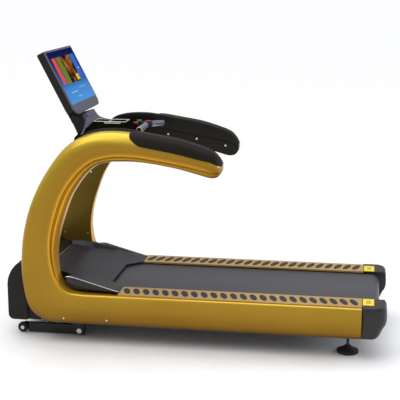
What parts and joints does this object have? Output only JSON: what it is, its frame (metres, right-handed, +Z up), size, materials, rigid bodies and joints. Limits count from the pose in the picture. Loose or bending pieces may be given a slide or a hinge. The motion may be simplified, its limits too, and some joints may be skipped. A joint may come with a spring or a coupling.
{
  "type": "treadmill",
  "caption": "Commercial motorised treadmill with C-shaped side frames, flat running belt, padded arms, console and tilting display.",
  "frame": {"origin": "on the floor, at the middle of the machine's bounding box", "axes": "+X towards the rear end of the running deck, +Y to the user's right when the user faces the display, +Z up"},
  "size_m": [2.164, 0.9144, 1.627],
  "materials": {
    "frame_steel": "satin black powder coat",
    "gold_shell": "metallic gold paint on moulded covers",
    "rail_tan": "satin tan gold anodised",
    "black_soft": "fine grained soft skin",
    "black_plastic": "satin moulded",
    "console_black": "gloss",
    "hood_grey": "satin dark grey",
    "neck_grey": "satin blue grey",
    "label_yellow": "printed plain film",
    "bright_metal": "polished",
    "steel": "machined",
    "belt_rubber": "fine texture",
    "black_rubber": "matt",
    "deck_wood": "waxed laminate",
    "motor_metal": "cast",
    "board_green": "satin",
    "grip_silver": "satin",
    "screen_glass": "lit display behind clear cover",
    "red_plastic": "gloss",
    "green_plastic": "gloss"
  },
  "bodies": {
    "base": {"chassis": "frame_steel", "upright_left": "frame_steel", "upright_right": "frame_steel", "shell_left": "gold_shell", "shell_right": "gold_shell", "panel_left": "gold_shell", "panel_right": "gold_shell", "arm_cover_left": "black_plastic", "arm_cover_right": "black_plastic", "arm_pad_left": "black_soft", "arm_pad_right": "black_soft", "frame_screws": "steel", "foot_rail_left": "rail_tan", "foot_rail_right": "rail_tan", "rail_studs": "black_rubber", "end_cap_left": "black_plastic", "end_cap_right": "black_plastic", "rail_labels": "label_yellow", "deck": "deck_wood", "deck_cushions": "black_rubber", "running_belt": "belt_rubber", "drive_belt": "black_rubber", "motor": "motor_metal", "controller": "board_green", "power_panel": "black_plastic", "hood_top": "hood_grey", "hood_trim": "bright_metal", "hood_front": "black_plastic", "arm_pins": "steel", "lift_pin": "steel", "foot_nuts": "black_rubber", "console": "console_black", "tray_trim": "bright_metal", "console_bars": "bright_metal", "mast": "black_plastic", "neck_cover": "neck_grey", "neck_plate": "neck_grey", "neck_screws": "steel", "display_pin": "steel", "handlebar": "black_plastic", "grip_left": "grip_silver", "grip_right": "grip_silver"},
    "front_roller": {"front_roller": "motor_metal"},
    "rear_roller": {"rear_roller": "motor_metal"},
    "motor_rotor": {"motor_rotor": "steel"},
    "incline": {"incline_arm": "frame_steel", "wheel_pins": "steel"},
    "wheel_left": {"wheel_left": "black_rubber"},
    "wheel_right": {"wheel_right": "black_rubber"},
    "lift_body": {"lift_body": "motor_metal"},
    "lift_rod": {"lift_rod": "steel"},
    "foot_left": {"foot_left": "black_rubber"},
    "foot_right": {"foot_right": "black_rubber"},
    "display": {"display_housing": "black_plastic", "display_bezel": "neck_grey", "display_screen": "screen_glass"},
    "stop_button": {"stop_button": "red_plastic"},
    "start_button": {"start_button": "green_plastic"},
    "safety_key": {"safety_key": "red_plastic"},
    "power_switch": {"power_switch": "red_plastic"}
  },
  "joints": [
    {"name": "front_roller_spin", "type": "hinge", "parent": "base", "child": "front_roller", "pos_m": [-0.56, 0, 0.2405], "axis": [0, 1, 0], "continuous": true},
    {"name": "rear_roller_spin", "type": "hinge", "parent": "base", "child": "rear_roller", "pos_m": [0.996, 0, 0.2405], "axis": [0, 1, 0], "continuous": true},
    {"name": "motor_spin", "type": "hinge", "parent": "base", "child": "motor_rotor", "pos_m": [-0.78, 0, 0.225], "axis": [0, 1, 0], "continuous": true},
    {"name": "incline_hinge", "type": "hinge", "parent": "base", "child": "incline", "pos_m": [-0.66, 0, 0.032], "axis": [0, -1, 0], "range_deg": [0, 38]},
    {"name": "wheel_left_spin", "type": "hinge", "parent": "incline", "child": "wheel_left", "pos_m": [-1.005, -0.28, 0.03], "axis": [0, 1, 0], "continuous": true},
    {"name": "wheel_right_spin", "type": "hinge", "parent": "incline", "child": "wheel_right", "pos_m": [-1.005, 0.28, 0.03], "axis": [0, 1, 0], "continuous": true},
    {"name": "lift_swing", "type": "hinge", "parent": "base", "child": "lift_body", "pos_m": [-0.86, -0.15, 0.31], "axis": [0, -1, 0], "range_deg": [0, 6]},
    {"name": "lift_slide", "type": "slide", "parent": "lift_body", "child": "lift_rod", "axis": [0, 0, -1], "range_m": [0, 0.1265]},
    {"name": "foot_left_screw", "type": "slide", "parent": "base", "child": "foot_left", "axis": [0, 0, -1], "range_m": [-0.03, 0.02]},
    {"name": "foot_right_screw", "type": "slide", "parent": "base", "child": "foot_right", "axis": [0, 0, -1], "range_m": [-0.03, 0.02]},
    {"name": "display_tilt", "type": "hinge", "parent": "base", "child": "display", "pos_m": [-0.73286, 0, 1.29534], "axis": [0, -1, 0], "range_deg": [-8, 12]},
    {"name": "stop_press", "type": "slide", "parent": "base", "child": "stop_button", "axis": [0, 0, -1], "range_m": [0, 0.003], "stiffness_N_per_m": 800, "springref_m": -0.002},
    {"name": "start_press", "type": "slide", "parent": "base", "child": "start_button", "axis": [0, 0, -1], "range_m": [0, 0.003], "stiffness_N_per_m": 800, "springref_m": -0.002},
    {"name": "key_pull", "type": "slide", "parent": "base", "child": "safety_key", "axis": [0, 0, 1], "range_m": [0, 0.02]},
    {"name": "power_rocker", "type": "hinge", "parent": "base", "child": "power_switch", "pos_m": [-1.056, 0.256, 0.162], "axis": [0, -1, 0], "range_deg": [0, 12]}
  ],
  "couplings": [
    {"joint": "rear_roller_spin", "follows": "front_roller_spin", "ratio": 1},
    {"joint": "motor_spin", "follows": "front_roller_spin", "ratio": 2},
    {"joint": "lift_swing", "follows": "incline_hinge", "ratio": 0.15289},
    {"joint": "lift_slide", "follows": "incline_hinge", "m_per_rad": 0.18983}
  ]
}
